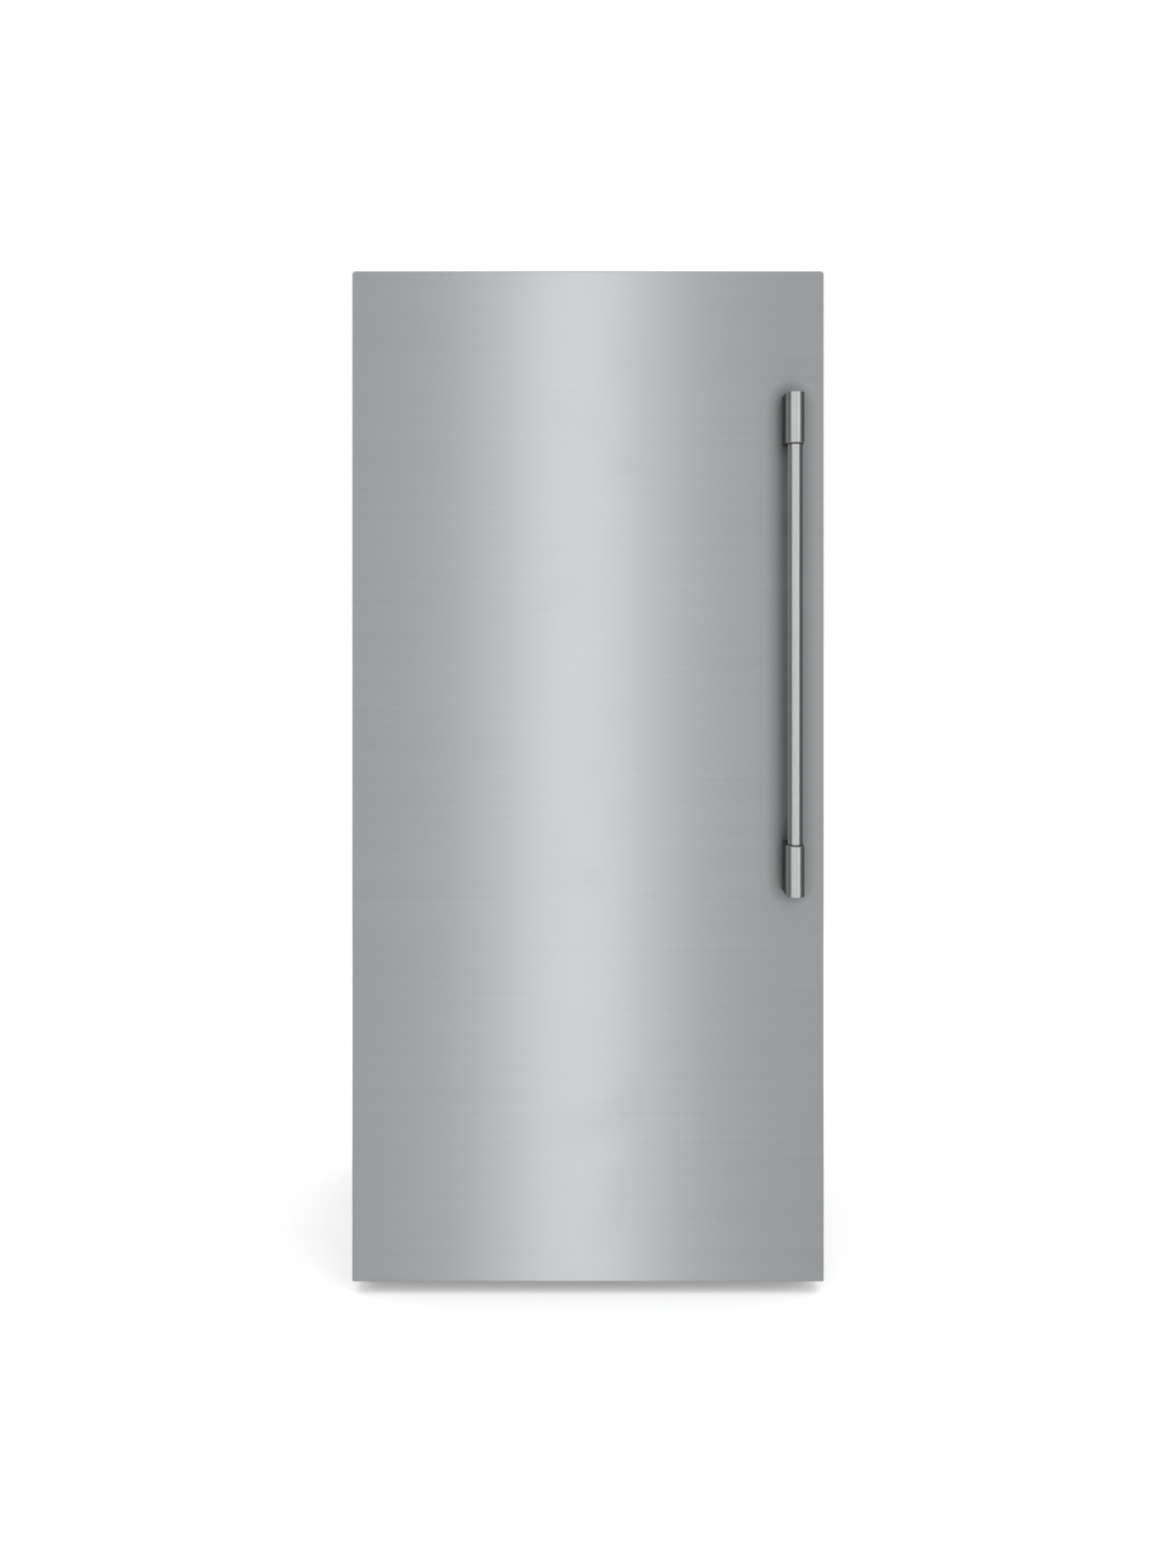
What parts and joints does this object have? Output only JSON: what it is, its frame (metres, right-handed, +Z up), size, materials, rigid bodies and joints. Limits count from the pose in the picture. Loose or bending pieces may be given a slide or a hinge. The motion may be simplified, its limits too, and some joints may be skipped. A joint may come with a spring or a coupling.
{
  "type": "single-door refrigerator column",
  "caption": "Tall single-door refrigerator with a brushed steel door on side hinges, a long tubular pull, glass shelves, drawers and door bins inside, and a compressor bay at the rear.",
  "frame": {"origin": "on the floor, under the centre of the object's outline with the door shut and the handle included", "axes": "+Z up, the door faces -Y, +X towards the handle side as seen from the front"},
  "size_m": [0.835, 0.7358, 1.829],
  "materials": {
    "stainless_door": "brushed",
    "handle_steel": "satin polished",
    "cabinet_paint": "fine textured",
    "galvanised": "spangled zinc",
    "zinc_steel": "zinc plated",
    "insulation": "cut foam",
    "white_liner": "satin gloss",
    "grey_plastic": "fine grained",
    "black_plastic": "fine grained",
    "clear_plastic": "clear",
    "shelf_glass": "clear",
    "shelf_trim": "satin",
    "seal_rubber": "soft",
    "track_paint": "satin",
    "compressor_paint": "gloss",
    "mount_rubber": "matte",
    "coil_fins": "mill",
    "line_copper": "drawn",
    "fan_plastic": "moulded",
    "panel_plastic": "satin",
    "diffuser_plastic": "frosted",
    "button_plastic": "satin",
    "roller_plastic": "moulded"
  },
  "bodies": {
    "cabinet": {"outer_wrapper": "cabinet_paint", "rear_panel": "galvanised", "base_pan": "galvanised", "cabinet_foam": "insulation", "food_liner": "white_liner", "top_hinge_bracket": "zinc_steel", "top_hinge_cover": "grey_plastic", "bottom_hinge_bracket": "zinc_steel", "assembly_screws": "zinc_steel", "toe_grille": "black_plastic", "machine_cover": "galvanised", "compressor": "compressor_paint", "compressor_mounts": "mount_rubber", "condenser_coil": "coil_fins", "condenser_fan_shroud": "fan_plastic", "drain_pan": "black_plastic", "refrigerant_lines": "line_copper", "control_board_box": "grey_plastic", "power_inlet": "black_plastic", "evaporator_coil": "coil_fins", "evaporator_fan_shroud": "fan_plastic", "air_duct_cover": "white_liner", "shelf_tracks": "track_paint", "shelf_1_frame": "shelf_trim", "shelf_2_frame": "shelf_trim", "shelf_3_frame": "shelf_trim", "shelf_4_frame": "shelf_trim", "glass_panes": "shelf_glass", "drawer_cover_frame": "shelf_trim", "control_panel": "panel_plastic", "light_diffuser": "diffuser_plastic", "roller_axles": "zinc_steel"},
    "condenser_fan": {"condenser_fan_blade": "fan_plastic"},
    "evaporator_fan": {"evaporator_fan_blade": "fan_plastic"},
    "crisper_left": {"crisper_left": "clear_plastic"},
    "crisper_right": {"crisper_right": "clear_plastic"},
    "wide_drawer": {"wide_drawer": "clear_plastic"},
    "humidity_slider_left": {"humidity_slider_left": "button_plastic"},
    "humidity_slider_right": {"humidity_slider_right": "button_plastic"},
    "button_colder": {"button_colder": "button_plastic"},
    "button_warmer": {"button_warmer": "button_plastic"},
    "rear_roller_left": {"rear_roller_left": "roller_plastic"},
    "rear_roller_right": {"rear_roller_right": "roller_plastic"},
    "leveling_leg_left": {"leveling_leg_left": "zinc_steel"},
    "leveling_leg_right": {"leveling_leg_right": "zinc_steel"},
    "door": {"door_skin": "stainless_door", "door_top_cap": "grey_plastic", "door_bottom_cap": "grey_plastic", "door_foam": "insulation", "door_liner": "white_liner", "door_gasket": "seal_rubber", "handle_bar": "handle_steel", "handle_end_upper": "handle_steel", "handle_end_lower": "handle_steel", "handle_studs": "zinc_steel", "dairy_box": "clear_plastic"},
    "dairy_flap": {"dairy_flap": "clear_plastic"},
    "door_bin_lower": {"door_bin_lower": "clear_plastic"},
    "door_bin_middle": {"door_bin_middle": "clear_plastic"},
    "door_bin_upper": {"door_bin_upper": "clear_plastic"}
  },
  "joints": [
    {"name": "door_hinge", "type": "hinge", "parent": "cabinet", "child": "door", "pos_m": [-0.3995, -0.2541, 0.9], "axis": [0, 0, -1], "range_deg": [0, 118]},
    {"name": "dairy_flap_hinge", "type": "hinge", "parent": "door", "child": "dairy_flap", "pos_m": [0, -0.2221, 1.602], "axis": [1, 0, 0], "range_deg": [0, 75]},
    {"name": "door_bin_lower_lift", "type": "slide", "parent": "door", "child": "door_bin_lower", "axis": [0, 0, 1], "range_m": [0, 0.025]},
    {"name": "door_bin_middle_lift", "type": "slide", "parent": "door", "child": "door_bin_middle", "axis": [0, 0, 1], "range_m": [0, 0.025]},
    {"name": "door_bin_upper_lift", "type": "slide", "parent": "door", "child": "door_bin_upper", "axis": [0, 0, 1], "range_m": [0, 0.025]},
    {"name": "crisper_left_slide", "type": "slide", "parent": "cabinet", "child": "crisper_left", "axis": [0, -1, 0], "range_m": [0, 0.1]},
    {"name": "crisper_right_slide", "type": "slide", "parent": "cabinet", "child": "crisper_right", "axis": [0, -1, 0], "range_m": [0, 0.1]},
    {"name": "wide_drawer_slide", "type": "slide", "parent": "cabinet", "child": "wide_drawer", "axis": [0, -1, 0], "range_m": [0, 0.1]},
    {"name": "humidity_left_slide", "type": "slide", "parent": "crisper_left", "child": "humidity_slider_left", "axis": [1, 0, 0], "range_m": [0, 0.05]},
    {"name": "humidity_right_slide", "type": "slide", "parent": "crisper_right", "child": "humidity_slider_right", "axis": [1, 0, 0], "range_m": [0, 0.05]},
    {"name": "button_colder_press", "type": "slide", "parent": "cabinet", "child": "button_colder", "axis": [0, 1, 0], "range_m": [0, 0.001], "stiffness_N_per_m": 800},
    {"name": "button_warmer_press", "type": "slide", "parent": "cabinet", "child": "button_warmer", "axis": [0, 1, 0], "range_m": [0, 0.001], "stiffness_N_per_m": 800},
    {"name": "condenser_fan_spin", "type": "hinge", "parent": "cabinet", "child": "condenser_fan", "pos_m": [-0.097, 0.24785, 0.17], "axis": [1, 0, 0], "continuous": true},
    {"name": "evaporator_fan_spin", "type": "hinge", "parent": "cabinet", "child": "evaporator_fan", "pos_m": [0, 0.2719, 1.01], "axis": [0, -1, 0], "continuous": true},
    {"name": "rear_roller_left_spin", "type": "hinge", "parent": "cabinet", "child": "rear_roller_left", "pos_m": [-0.35, 0.3199, 0.024], "axis": [1, 0, 0], "continuous": true},
    {"name": "rear_roller_right_spin", "type": "hinge", "parent": "cabinet", "child": "rear_roller_right", "pos_m": [0.35, 0.3199, 0.024], "axis": [1, 0, 0], "continuous": true},
    {"name": "leveling_leg_left_screw", "type": "slide", "parent": "cabinet", "child": "leveling_leg_left", "axis": [0, 0, -1], "range_m": [0, 0.015]},
    {"name": "leveling_leg_right_screw", "type": "slide", "parent": "cabinet", "child": "leveling_leg_right", "axis": [0, 0, -1], "range_m": [0, 0.015]}
  ]
}
